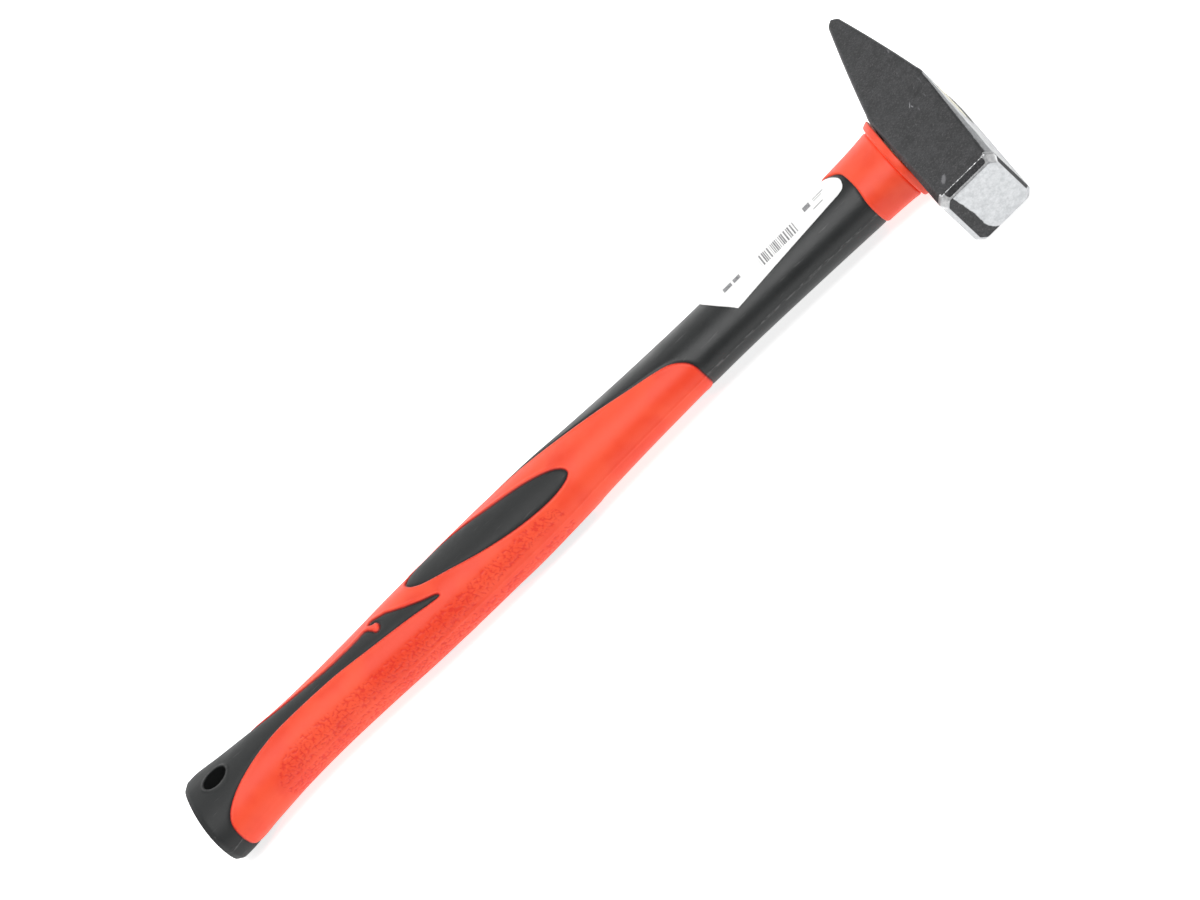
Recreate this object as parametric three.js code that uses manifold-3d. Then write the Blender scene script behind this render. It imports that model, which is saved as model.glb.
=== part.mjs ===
// A cross-pein engineer's hammer of the 300 g class, in millimetres, lying on one cheek.
// +X runs along the handle towards the head, -Y is the striking side, +Y the pein, +Z the upper cheek.
// Inside the group, x = 0 is the top of the head and the handle's axis is the X axis.
import * as THREE from "three";
import { mergeVertices } from "three/addons/utils/BufferGeometryUtils.js";
import Module from "manifold-3d";

const wasm = await Module();
wasm.setup();

// ---------------------------------------------------------------- driving dimensions

const OVERALL_LENGTH = 305;
const GAP = 0.3; // room left between neighbouring pieces

const HEAD_LENGTH = 104.5; // striking face to pein tip
const HEAD_SIDE = 21.6; // height of the square body and thickness over the cheeks
const FACE_TO_AXIS = 46;
const AXIS_TO_SHOULDER = 9; // where the pein's wedge begins
const SHOULDER_EASE = 2.4; // the shoulder is rounded over this length to each side
const SHOULDER_DROP = 0.6;
const WEDGE_BULGE = 0.25; // the wedge's flanks stand out from straight by this at their middle
const PEIN_TIP_RADIUS = 2.3;
const TIP_ANGLE = 0.17; // the flanks meet the rounded tip at this angle from its sides
const FACE_BEVEL = 1.3;
const CHAMFER_AT_FACE = 1.9; // long edges of the body, widest at the face
const CHAMFER_AT_EYE = 0.8;

const EYE_LENGTH = 19; // at its waist
const EYE_WIDTH = 12.6;
const EYE_FLARE = 0.8; // each end of the eye is wider by this all round
const EYE_CHAMFER_DEPTH = 5;

const CORE_WIDTH = 15;
const CORE_THICKNESS = 9.2;
const CORE_BURIED_END = -282; // short of the hang hole
const CORE_TOP_SINK = 0.6; // the bar and the resin end this far below the head's top

const SLEEVE_THICKNESS = 1.8;
const COLLAR_PROUD = 0.25;
const COLLAR_FLANGE_BOTTOM = -24;
const FLANGE_HALF_WIDTH = 16;
const FLANGE_HALF_THICKNESS = 10.2;
const COLLAR_LOWEST = -48;

const LABEL_THICKNESS = 0.25;

const BUTT_SLANT = 0.05; // the end face leans by this, further back on the striking side
const BUTT_SLANT_START = -290;

const HOLE_X = -293.2; // centre of the hang hole
const HOLE_Y = 2.8;
const HOLE_HALF_LENGTH = 4.3;
const HOLE_HALF_WIDTH = 3.6;

const SECTION_POWER = 2.3; // 2 is an ellipse, more is squarer
const COLLAR_POWER = 2.4;
const FLANGE_POWER = 2.8;
const SECTION_SIDES = 32;
const LOFT_STEP = 7.5; // spacing of the handle's sections

// The handle's outer shape: place along it, half width, half thickness, sideways shift.
const HANDLE_STATIONS = [
  [-305, 15.0, 9.4, 2.2],
  [-302.6, 16.9, 10.6, 2.2],
  [-299, 17.0, 10.8, 2.3],
  [-288, 14.9, 10.5, 2.0],
  [-274, 13.0, 10.0, 1.7],
  [-258, 12.3, 9.8, 1.4],
  [-240, 12.8, 9.9, 1.1],
  [-217, 14.0, 10.2, 0.8],
  [-180, 14.4, 10.3, 0.6],
  [-163, 14.1, 10.0, 0.6],
  [-148, 12.9, 9.4, 0.6],
  [-125, 11.9, 8.6, 0.3],
  [-95, 11.5, 8.0, 0],
  [-64, 12.1, 8.3, -0.4],
  [-40, 12.7, 8.8, -0.8],
  [-22, 13.7, 9.3, -0.8],
];

// ---------------------------------------------------------------- derived values

const HEAD_HALF = HEAD_SIDE / 2;
const FACE_Y = -FACE_TO_AXIS;
const PEIN_Y = HEAD_LENGTH - FACE_TO_AXIS;
const HEAD_BOTTOM = -HEAD_SIDE;
const BUTT_X = -OVERALL_LENGTH;
const NECK_TOP = HEAD_BOTTOM - GAP;
const CORE_TOP = -CORE_TOP_SINK;
const FAR = 60; // beyond every piece

// Every skin of the handle has its sections at these places, so that skins of different offset stay parallel.
const LOFT_PLACES = HANDLE_STATIONS.slice(0, 3).map(([x]) => x);
for (let x = LOFT_PLACES[2] + LOFT_STEP; x < NECK_TOP; x += LOFT_STEP) {
  LOFT_PLACES.push(x);
}

// ---------------------------------------------------------------- shape helpers

function solidOf(geometry) {
  const bare = new THREE.BufferGeometry();
  const source = geometry.index ? geometry.toNonIndexed() : geometry;
  bare.setAttribute("position", source.getAttribute("position"));
  const merged = mergeVertices(bare, 1e-4);
  return new wasm.Manifold(
    new wasm.Mesh({
      numProp: 3,
      vertProperties: new Float32Array(merged.attributes.position.array),
      triVerts: new Uint32Array(merged.index.array),
    }),
  );
}

// The largest body of a cut solid, without the dust that a cut along a curved edge can leave.
function mainBody(solid) {
  return solid.decompose().reduce((best, body) => (body.volume() > best.volume() ? body : best));
}

function meshOf(name, solid, material) {
  const out = mainBody(solid).getMesh();
  const geometry = new THREE.BufferGeometry();
  geometry.setAttribute("position", new THREE.BufferAttribute(out.vertProperties, 3));
  geometry.setIndex(new THREE.BufferAttribute(out.triVerts, 1));
  geometry.computeVertexNormals();
  const mesh = new THREE.Mesh(geometry, material);
  mesh.name = name;
  return mesh;
}

// A closed skin through rings of points, each ring with the same number of points, capped at both ends.
// Rings turn anticlockwise seen from +X and follow each other towards +X.
function loft(rings) {
  const sides = rings[0].length;
  const positions = [];
  const indices = [];
  rings.flat().forEach((point) => positions.push(point.x, point.y, point.z));
  for (let r = 0; r < rings.length - 1; r++) {
    for (let i = 0; i < sides; i++) {
      const a = r * sides + i;
      const b = r * sides + ((i + 1) % sides);
      indices.push(a, b, b + sides, a, b + sides, a + sides);
    }
  }
  const last = (rings.length - 1) * sides;
  for (let i = 1; i < sides - 1; i++) {
    indices.push(0, i + 1, i, last, last + i, last + i + 1);
  }
  const geometry = new THREE.BufferGeometry();
  geometry.setAttribute("position", new THREE.Float32BufferAttribute(positions, 3));
  geometry.setIndex(indices);
  return solidOf(geometry);
}

// A rounded section across the X axis, between an ellipse and a rectangle.
function ovalRing(x, halfY, halfZ, shiftY = 0, power = SECTION_POWER) {
  const ring = [];
  for (let i = 0; i < SECTION_SIDES; i++) {
    const turn = (2 * Math.PI * i) / SECTION_SIDES;
    const c = Math.cos(turn);
    const s = Math.sin(turn);
    const y = shiftY + halfY * Math.sign(c) * Math.abs(c) ** (2 / power);
    const z = halfZ * Math.sign(s) * Math.abs(s) ** (2 / power);
    ring.push(new THREE.Vector3(x, y, z));
  }
  return ring;
}

// A smooth value along a list of [place, value...] stations, by Hermite cubics through them.
function smoothAlong(stations, x, column) {
  const last = stations.length - 1;
  let k = 0;
  while (k < last - 1 && x > stations[k + 1][0]) {
    k++;
  }
  const slopeAt = (i) => {
    const before = stations[Math.max(i - 1, 0)];
    const after = stations[Math.min(i + 1, last)];
    return (after[column] - before[column]) / (after[0] - before[0]);
  };
  const span = stations[k + 1][0] - stations[k][0];
  const t = THREE.MathUtils.clamp((x - stations[k][0]) / span, 0, 1);
  const start = stations[k][column];
  const end = stations[k + 1][column];
  const blend = t * t * (3 - 2 * t);
  const leaving = t * (1 - t) * (1 - t) * span * slopeAt(k);
  const arriving = t * t * (t - 1) * span * slopeAt(k + 1);
  return start + (end - start) * blend + leaving + arriving;
}

function handleRing(x, offset) {
  const halfY = smoothAlong(HANDLE_STATIONS, x, 1) + offset;
  const halfZ = smoothAlong(HANDLE_STATIONS, x, 2) + offset;
  const shiftY = smoothAlong(HANDLE_STATIONS, x, 3);
  const ring = ovalRing(x, halfY, halfZ, shiftY);
  const lean = BUTT_SLANT * THREE.MathUtils.smoothstep(BUTT_SLANT_START - x, 0, BUTT_SLANT_START - BUTT_X);
  ring.forEach((place) => {
    place.x += lean * (place.y - shiftY + halfY);
  });
  return ring;
}

// The handle's outer skin, moved out by an offset, between two places.
function handleLoft(from, to, offset) {
  const between = LOFT_PLACES.filter((x) => x > from + 1 && x < to - 1);
  return loft([from, ...between, to].map((x) => handleRing(x, offset)));
}

const point = ([x, y]) => new THREE.Vector2(x, y);

function smoothEdge(places, divisions) {
  return new THREE.SplineCurve(places.map(point)).getPoints(divisions);
}

// Moves each point of a closed outline outwards along its local normal.
function grownOutline(outline, amount) {
  const side = THREE.ShapeUtils.area(outline) > 0 ? 1 : -1;
  const count = outline.length;
  return outline.map((here, i) => {
    const before = outline[(i + count - 1) % count];
    const after = outline[(i + 1) % count];
    const along = after.clone().sub(before).normalize();
    return new THREE.Vector2(here.x + along.y * amount * side, here.y - along.x * amount * side);
  });
}

function prismZ(outline, low, high, hole) {
  const shape = new THREE.Shape(outline);
  if (hole) {
    shape.holes.push(new THREE.Path(hole));
  }
  const geometry = new THREE.ExtrudeGeometry(shape, { depth: high - low, bevelEnabled: false });
  return solidOf(geometry.translate(0, 0, low));
}

// ---------------------------------------------------------------- outlines seen from above the cheek

// Where the red grip begins: an arch on the striking side that runs back to a point on the pein side.
const GRIP_ARCH = smoothEdge(
  [
    [-105.8, -12], [-106.4, -9.6], [-108.4, -7.2], [-112, -4.6], [-117.5, -2.8], [-125, -0.9],
    [-136, 2.2], [-150, 5.6], [-165, 8.8], [-182, 10.8], [-197, 12.8], [-211, 17],
  ],
  30,
);

// The black tail that climbs from the butt: its edge on the pein side, with the small hook, then its other edge.
const TAIL_UPPER = smoothEdge(
  [[-284, 17.5], [-277, 11.5], [-269, 8], [-258, 5.5], [-247, 3.5], [-237, 3], [-231, 3.1]],
  14,
);
const TAIL_HOOK = [[-229.6, 0.4], [-228.4, -0.5], [-227.1, -0.3], [-226.4, 1.2], [-226.6, 3.9]].map(point);
const TAIL_TIP = smoothEdge(
  [[-223, 2.5], [-217, -2], [-212, -5], [-207.5, -7], [-207, -8], [-211, -7.5]],
  14,
);
const TAIL_LOWER = smoothEdge(
  [
    [-216, -6.5], [-232, -3.7], [-248, -1], [-266, -0.2], [-276, -1.5], [-285, -4.5],
    [-292, -8], [-297, -12], [-298.2, -16.5],
  ],
  20,
);

const GRIP_OUTLINE = [
  point([-105.8, -FAR]), ...GRIP_ARCH, point([-211, FAR]),
  point([-284, FAR]), ...TAIL_UPPER, ...TAIL_HOOK, ...TAIL_TIP, ...TAIL_LOWER, point([-298.2, -FAR]),
];

const WINDOW_PLACES = [
  [-154.6, -7.6], [-158, -3.9], [-167, 0.2], [-180, 4.0], [-190, 7.6], [-200, 10.7], [-208, 10.9],
  [-213, 6.4], [-209.5, 0.9], [-199, -3.9], [-188, -7.6], [-176, -9.9], [-165, -10.5], [-157.5, -9.6],
].map(([x, y]) => new THREE.Vector3(x, y, 0));
const WINDOW_OUTLINE = new THREE.CatmullRomCurve3(WINDOW_PLACES, true)
  .getPoints(32)
  .slice(0, -1)
  .map(({ x, y }) => new THREE.Vector2(x, y));

// The collar's lower rim, which reaches further down on the pein side.
const COLLAR_RIM = smoothEdge(
  [[-38, -20], [-37.6, -13], [-36.7, -7], [-37.1, 0], [-39, 4], [-41.6, 7.5], [-44.5, 12], [-46, 20]],
  28,
);
const COLLAR_OUTLINE = [...COLLAR_RIM, point([FAR, 20]), point([FAR, -20])];

// The label's cut edges: under the collar's rim near the head, slanted at its lower end.
const LABEL_OUTLINE = [[-38, 10.6], [-38, -3.6], [-39.2, -5], [-85.2, -7.7], [-96, 10.6]].map(point);

// ---------------------------------------------------------------- materials

function material(color, roughness, metalness) {
  return new THREE.MeshStandardMaterial({ color, roughness, metalness });
}
const LACQUERED_STEEL = material(0x3c3e40, 0.5, 0.6);
const BLACK_PLASTIC = material(0x2f3133, 0.45, 0);
const RED_GRIP_RUBBER = material(0xf0432c, 0.55, 0);
const RED_COLLAR_RUBBER = material(0xe83c28, 0.5, 0);
const GLASS_FIBRE = material(0xd9cf9c, 0.5, 0);
const CAST_RESIN = material(0xb0ada2, 0.3, 0);
const WHITE_PAPER = material(0xf2f2f0, 0.7, 0);

// ---------------------------------------------------------------- the head

// Section across the head's long axis: a square with its four corners cut off.
function chamferedSquare(y, half, chamfer) {
  const flat = half - chamfer;
  const corners = [
    [half, flat], [flat, half], [-flat, half], [-half, flat],
    [-half, -flat], [-flat, -half], [flat, -half], [half, -flat],
  ];
  return corners.map(([x, z]) => new THREE.Vector3(x - HEAD_HALF, y, z));
}

function eyeLoft(offset) {
  const halfLength = EYE_LENGTH / 2 + offset;
  const halfWidth = EYE_WIDTH / 2 + offset;
  const flared = (x) => ovalRing(x, halfLength + EYE_FLARE, halfWidth + EYE_FLARE);
  const waist = (x) => ovalRing(x, halfLength, halfWidth);
  return loft([
    flared(HEAD_BOTTOM - 1),
    flared(HEAD_BOTTOM),
    waist(HEAD_BOTTOM + EYE_CHAMFER_DEPTH),
    waist(-EYE_CHAMFER_DEPTH),
    flared(0),
    flared(1),
  ]);
}

// The head seen from the cheek: half of its outline, mirrored across the head's centre line.
function headOutline() {
  const tipCentreY = PEIN_Y - PEIN_TIP_RADIUS;
  const shoulder = point([HEAD_HALF - SHOULDER_DROP, AXIS_TO_SHOULDER + SHOULDER_EASE]);
  const tip = new THREE.Vector2(Math.cos(TIP_ANGLE), Math.sin(TIP_ANGLE)).multiplyScalar(PEIN_TIP_RADIUS);
  tip.y += tipCentreY;
  const flank = shoulder.clone().lerp(tip, 0.5);
  flank.x += 2 * WEDGE_BULGE;
  const path = new THREE.Path();
  path.moveTo(HEAD_HALF, FACE_Y - 1);
  path.lineTo(HEAD_HALF, AXIS_TO_SHOULDER - SHOULDER_EASE);
  path.quadraticCurveTo(HEAD_HALF, AXIS_TO_SHOULDER, shoulder.x, shoulder.y);
  path.quadraticCurveTo(flank.x, flank.y, tip.x, tip.y);
  path.absarc(0, tipCentreY, PEIN_TIP_RADIUS, TIP_ANGLE, Math.PI / 2, false);
  const half = path.getPoints(6);
  const otherHalf = half.slice(0, -1).reverse().map(({ x, y }) => new THREE.Vector2(-x, y));
  return [...half, ...otherHalf].map(({ x, y }) => new THREE.Vector2(x - HEAD_HALF, y));
}

// The forging is that outline, kept inside a bar whose corner chamfers widen towards the face.
function hammerHead() {
  const wedge = prismZ(headOutline(), -FAR, FAR);
  const bar = loft([
    chamferedSquare(PEIN_Y + 1, HEAD_HALF, CHAMFER_AT_EYE),
    chamferedSquare(0, HEAD_HALF, CHAMFER_AT_EYE),
    chamferedSquare(FACE_Y + FACE_BEVEL, HEAD_HALF, CHAMFER_AT_FACE),
    chamferedSquare(FACE_Y, HEAD_HALF - FACE_BEVEL, CHAMFER_AT_FACE),
  ]);
  return bar.intersect(wedge).subtract(eyeLoft(0));
}

// ---------------------------------------------------------------- what is inside

function coreLoft(from, to, offset) {
  const ring = (x) => ovalRing(x, CORE_WIDTH / 2 + offset, CORE_THICKNESS / 2 + offset);
  return loft([ring(from), ring(to)]);
}

function eyeResin() {
  const corners = [[HEAD_BOTTOM, -FAR], [CORE_TOP, -FAR], [CORE_TOP, FAR], [HEAD_BOTTOM, FAR]];
  const slab = prismZ(corners.map(point), -FAR, FAR);
  return eyeLoft(-GAP).intersect(slab).subtract(coreLoft(HEAD_BOTTOM - 1, 1, GAP));
}

// ---------------------------------------------------------------- the handle

function hangHole() {
  const outline = new THREE.EllipseCurve(HOLE_X, HOLE_Y, HOLE_HALF_LENGTH, HOLE_HALF_WIDTH);
  return prismZ(outline.getPoints(24).slice(0, -1), -FAR, FAR);
}

const GRIP_ZONE = prismZ(GRIP_OUTLINE, -FAR, FAR, WINDOW_OUTLINE);
const GRIP_POCKET = prismZ(grownOutline(GRIP_OUTLINE, GAP), -FAR, FAR, grownOutline(WINDOW_OUTLINE, -GAP));
const COLLAR_ZONE = prismZ(COLLAR_OUTLINE, -FAR, FAR);
const COLLAR_POCKET = prismZ(grownOutline(COLLAR_OUTLINE, GAP), -FAR, FAR);

// The black jacket: the full shape, cut down where the grip and the collar are moulded over it.
function handleBody() {
  const skin = handleLoft(BUTT_X, NECK_TOP, 0);
  const inner = handleLoft(BUTT_X + 4, NECK_TOP, -SLEEVE_THICKNESS - GAP);
  const shaped = skin.subtract(GRIP_POCKET).subtract(COLLAR_POCKET).add(inner);
  return shaped.subtract(coreLoft(CORE_BURIED_END - GAP, FAR, GAP)).subtract(hangHole());
}

function gripSleeve() {
  const outside = handleLoft(BUTT_X + 1, -90, 0);
  const inside = handleLoft(BUTT_X, -80, -SLEEVE_THICKNESS);
  return outside.intersect(GRIP_ZONE).subtract(inside);
}

function guardCollar() {
  const shiftAt = (x) => smoothAlong(HANDLE_STATIONS, x, 3);
  const proudRing = (x, extra) => {
    const halfY = smoothAlong(HANDLE_STATIONS, x, 1) + COLLAR_PROUD + extra;
    const halfZ = smoothAlong(HANDLE_STATIONS, x, 2) + COLLAR_PROUD + extra / 2;
    return ovalRing(x, halfY, halfZ, shiftAt(x), COLLAR_POWER);
  };
  const flangeRing = (x) => ovalRing(x, FLANGE_HALF_WIDTH, FLANGE_HALF_THICKNESS, shiftAt(x) / 2, FLANGE_POWER);
  const outside = loft([
    proudRing(COLLAR_LOWEST, 0),
    proudRing(-38, 0),
    proudRing(-30, 0.1),
    proudRing(COLLAR_FLANGE_BOTTOM - 1, 0.4),
    flangeRing(COLLAR_FLANGE_BOTTOM),
    flangeRing(NECK_TOP),
  ]);
  const inside = handleLoft(COLLAR_LOWEST - 5, HEAD_BOTTOM, -SLEEVE_THICKNESS);
  return outside.intersect(COLLAR_ZONE).subtract(inside);
}

function label() {
  const outside = handleLoft(-110, -30, GAP + LABEL_THICKNESS);
  const inside = handleLoft(-115, -25, GAP);
  return outside.subtract(inside).intersect(prismZ(LABEL_OUTLINE, 0, FAR)).subtract(COLLAR_POCKET);
}

// ---------------------------------------------------------------- the assembly

const hammer = new THREE.Group();
hammer.position.set(OVERALL_LENGTH / 2, HEAD_LENGTH / 2 - PEIN_Y, HEAD_HALF);
hammer.add(
  meshOf("hammer_head", hammerHead(), LACQUERED_STEEL),
  meshOf("fibreglass_core", coreLoft(CORE_BURIED_END, CORE_TOP, 0), GLASS_FIBRE),
  meshOf("eye_resin", eyeResin(), CAST_RESIN),
  meshOf("handle_body", handleBody(), BLACK_PLASTIC),
  meshOf("grip_sleeve", gripSleeve(), RED_GRIP_RUBBER),
  meshOf("guard_collar", guardCollar(), RED_COLLAR_RUBBER),
  meshOf("label", label(), WHITE_PAPER),
);

export default hammer;
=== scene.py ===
import math

import bmesh
import bpy
import numpy as np
from mathutils import Euler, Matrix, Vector


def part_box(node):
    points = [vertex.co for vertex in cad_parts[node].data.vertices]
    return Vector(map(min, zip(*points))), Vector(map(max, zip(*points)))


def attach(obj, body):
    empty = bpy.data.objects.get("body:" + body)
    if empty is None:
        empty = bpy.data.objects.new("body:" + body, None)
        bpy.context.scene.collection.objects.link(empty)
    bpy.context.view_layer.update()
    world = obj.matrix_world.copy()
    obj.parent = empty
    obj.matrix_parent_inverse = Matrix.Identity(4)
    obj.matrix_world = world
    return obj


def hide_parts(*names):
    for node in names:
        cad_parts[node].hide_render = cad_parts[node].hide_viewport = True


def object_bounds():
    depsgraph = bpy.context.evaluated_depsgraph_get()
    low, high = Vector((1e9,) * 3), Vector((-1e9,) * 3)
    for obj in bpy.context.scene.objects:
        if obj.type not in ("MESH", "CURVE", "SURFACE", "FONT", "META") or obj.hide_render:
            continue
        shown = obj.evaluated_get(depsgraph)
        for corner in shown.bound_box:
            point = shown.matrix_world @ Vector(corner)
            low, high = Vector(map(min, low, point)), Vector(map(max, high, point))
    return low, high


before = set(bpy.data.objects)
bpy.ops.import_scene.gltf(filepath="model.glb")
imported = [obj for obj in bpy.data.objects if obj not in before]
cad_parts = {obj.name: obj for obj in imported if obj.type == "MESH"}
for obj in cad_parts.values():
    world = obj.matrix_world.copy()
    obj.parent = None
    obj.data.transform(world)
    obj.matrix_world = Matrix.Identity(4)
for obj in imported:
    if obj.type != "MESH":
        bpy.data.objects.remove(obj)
CAD_LOW, CAD_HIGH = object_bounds()

# The looks of a cross-pein engineer's hammer that lies on one cheek of its head, on a pale studio floor.
# Inside this script a point is (x, y, z) in millimetres: x along the handle from the top of the head (so the
# handle has negative x), y across it from the striking side to the pein, z up from the middle of the cheeks.

# ---------------------------------------------------------------- driving dimensions, in millimetres

FACE_TO_AXIS = 46.0
HEAD_HALF = 10.8
PEIN_Y = 58.5
PEIN_TIP_RADIUS = 2.3
TIP_ANGLE = 0.17
SHOULDER_START = 6.6
SHOULDER_END = 11.4
SHOULDER_DROP = 0.6
WEDGE_BULGE = 0.25
BEVEL_DEPTH = 1.5
BEVEL_TOP = 1.3  # how far each side's bevel comes in over the face
BEVEL_BOTTOM = 1.6
BEVEL_UPPER_CHEEK = 2.4
BEVEL_LOWER_CHEEK = 0.9
CHAMFER_AT_FACE = 2.2
FACET_LENGTH = 2.4  # the ground part of a corner chamfer
CHAMFER_AT_EYE = 0.8
WEDGE_EDGE = 0.7
EDGE_WEAR = 0.35
EDGE_ROUNDING = 0.3

BAND_EDGE = -5.4  # the un-ground strip of the face starts this far below its middle
BAND_CURVE_START = 5.5

EYE_HALF_LENGTH = 9.5
EYE_HALF_WIDTH = 6.3
EYE_FLARE = 0.8
EYE_CHAMFER_DEPTH = 5.0
EYE_POWER = 2.3
CORE_HALF_WIDTH = 7.5
CORE_HALF_THICKNESS = 4.6
RESIN_SINK = 0.12

SECTION_POWER = 2.3  # 2 is an ellipse, more is squarer
BUTT_X = -305.0
NECK_TOP = -21.9
BUTT_BEVEL_START = -303.2
BUTT_BEVEL_INSET = 1.2
BUTT_SLANT = 0.035
BUTT_SLANT_START = -290.0

# The handle's outer shape: place along it, half width, half thickness, sideways shift.
HANDLE_STATIONS = np.array([
    [-305.0, 17.0, 10.7, 2.2],
    [-302.6, 17.0, 10.8, 2.2],
    [-299.0, 17.0, 10.8, 2.3],
    [-288.0, 14.9, 10.5, 2.0],
    [-274.0, 13.0, 10.0, 1.7],
    [-258.0, 12.3, 9.8, 1.4],
    [-240.0, 12.8, 9.9, 1.1],
    [-217.0, 14.0, 10.2, 0.8],
    [-180.0, 14.4, 10.3, 0.6],
    [-163.0, 14.1, 10.0, 0.6],
    [-148.0, 12.9, 9.4, 0.6],
    [-125.0, 11.9, 8.6, 0.3],
    [-95.0, 11.5, 8.0, 0.0],
    [-64.0, 12.1, 8.3, -0.4],
    [-40.0, 12.7, 8.8, -0.8],
    [-22.0, 13.7, 9.3, -0.8],
])

HOLE_CENTRE = (-293.2, 2.8)
HOLE_HALF_LENGTH = 4.3
HOLE_HALF_WIDTH = 3.6
HOLE_LIP_WIDTH = 0.8
HOLE_LIP_HEIGHT = 0.4

COLLAR_POWER = 2.4
FLANGE_POWER = 2.8
FLANGE_HALF_WIDTH = 16.0
FLANGE_HALF_THICKNESS = 10.4
FLANGE_BOTTOM = -24.4
COLLAR_PROUD = 0.35
COLLAR_THICKNESS = 1.2

TEXTURE_PITCH = 2.0
TEXTURE_HEIGHT = 0.2
TEXTURE_WAVES = 64
TEXTURE_SPREAD = 0.35  # how much the waves differ in length, as a share
TEXTURE_GROOVE = 0.42

HANDLE_COLUMNS = 184  # points round each section
GRIP_COLUMNS = 232
COLLAR_COLUMNS = 216
RING_POINTS = 96  # round the eye and round the bar
ROW_SPACING = 0.42
FINE_SPACING = 0.3  # where the grip has its texture
BUTT_SPACING = 0.2

BEAD_HEIGHT = 0.9
FLANGE_TOP = 2.38  # above its bottom

FAR = 60.0  # beyond every piece

# Outlines seen from above the cheek, as (x, y).
GRIP_ARCH = [
    (-105.8, -12), (-106.4, -9.6), (-108.4, -7.2), (-112, -4.6), (-117.5, -2.8), (-125, -0.9),
    (-136, 2.2), (-150, 5.6), (-165, 8.8), (-182, 10.8), (-197, 12.8), (-211, 17),
]
TAIL_UPPER = [(-284, 17.5), (-277, 11.5), (-269, 8), (-258, 5.5), (-247, 3.5), (-237, 3), (-231.5, 3.5)]
HOOK_NECK = [(-230.3, 2.6), (-229.7, 1.6)]
HOOK_BALL_CENTRE = (-227.6, 1.1)
HOOK_BALL_RADII = (1.55, 2.3)
HOOK_BALL_TURNS = (190, 455)  # degrees, from the neck's lower side round to the slit above the ball
HOOK_SLIT = [(-228.5, 4), (-229, 4.5), (-228.5, 5.2), (-227.5, 5), (-223, 2.7)]
TAIL_TIP = [(-221, 1), (-217, -2), (-212, -5), (-207.5, -7), (-207, -8), (-211, -7.5)]
TAIL_LOWER = [
    (-216, -6.5), (-232, -3.7), (-248, -1), (-266, -0.2), (-276, -1.5), (-285, -4.5), (-292, -8), (-297, -12),
    (-299, -16.5),
]
WINDOW = [
    (-154.6, -7.6), (-158, -3.9), (-167, 0.2), (-180, 4.0), (-190, 7.6), (-200, 10.7), (-208, 10.9),
    (-213, 6.4), (-209.5, 0.9), (-199, -3.9), (-188, -7.6), (-176, -9.9), (-165, -10.5), (-157.5, -9.6),
]
COLLAR_RIM = [
    (-38, -20), (-37.6, -13), (-36.7, -7), (-37.1, 0), (-39, 4), (-41.6, 7.5), (-44.5, 12), (-46, 20),
]
TEXTURE_EDGE = [
    (-160.5, -16), (-163, -13), (-169, -11.5), (-190, -11), (-220, -10.5), (-250, -8.5), (-267, -7.5),
    (-276, -9.5), (-280, -12), (-280.5, -16),
]
LABEL_BOTTOM = [(-85.6, -7.7), (-89, -3), (-91.6, 1.5), (-93.6, 6), (-94.2, 10.6)]
LABEL_TOP = [(-42, -5.0), (-40, -4.4), (-39, -2.6), (-38.9, 0.2), (-41.0, 4.3), (-43.9, 7.8), (-46.2, 10.6)]

# ---------------------------------------------------------------- derived values

MM = 0.001
HEAD_LOW, HEAD_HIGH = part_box("hammer_head")
ORIGIN = np.array([HEAD_HIGH.x, HEAD_LOW.y + FACE_TO_AXIS * MM, (HEAD_LOW.z + HEAD_HIGH.z) / 2])
FACE_Y = -FACE_TO_AXIS
rng = np.random.default_rng(41)


def smoothstep(start, end, value):
    """0 before start, 1 after end, and a smooth rise between."""
    t = np.clip((value - start) / (end - start), 0, 1)
    return t * t * (3 - 2 * t)


def bump(distance, width):
    """A soft hill of height 1 that is about twice the width across."""
    return np.exp(-((distance / width) ** 2))


def signed_power(value, power):
    return np.sign(value) * np.abs(value) ** power


# ---------------------------------------------------------------- curves and outlines

def along_handle(x, column):
    """A column of the stations at each x, by Hermite cubics through them."""
    places = HANDLE_STATIONS[:, 0]
    values = HANDLE_STATIONS[:, column]
    slopes = np.empty_like(values)
    slopes[1:-1] = (values[2:] - values[:-2]) / (places[2:] - places[:-2])
    slopes[0] = (values[1] - values[0]) / (places[1] - places[0])
    slopes[-1] = (values[-1] - values[-2]) / (places[-1] - places[-2])
    x = np.clip(x, places[0], places[-1])
    k = np.clip(np.searchsorted(places, x, side="right") - 1, 0, len(places) - 2)
    span = places[k + 1] - places[k]
    t = (x - places[k]) / span
    start = (1 + 2 * t) * (1 - t) ** 2 * values[k] + t * (1 - t) ** 2 * span * slopes[k]
    end = t * t * (3 - 2 * t) * values[k + 1] + t * t * (t - 1) * span * slopes[k + 1]
    return start + end


def spline(points, steps=10, closed=False):
    """A smooth curve through the points, as an array of places along it."""
    p = np.array(points, float)
    if closed:
        p = np.vstack([p[-1], p, p[0], p[1]])
    else:
        p = np.vstack([2 * p[0] - p[1], p, 2 * p[-1] - p[-2]])
    t = np.linspace(0, 1, steps, endpoint=False)[:, None]
    pieces = []
    for a, b, c, d in zip(p[:-3], p[1:-2], p[2:-1], p[3:]):
        cubic = 2 * b + (c - a) * t + (2 * a - 5 * b + 4 * c - d) * t**2 + (3 * b - a - 3 * c + d) * t**3
        pieces.append(cubic / 2)
    if not closed:
        pieces.append(p[-2:-1])
    return np.vstack(pieces)


def arc(centre, radii, first, last, steps=24):
    turn = np.radians(np.linspace(first, last, steps))
    return np.column_stack([centre[0] + radii[0] * np.cos(turn), centre[1] + radii[1] * np.sin(turn)])


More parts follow.
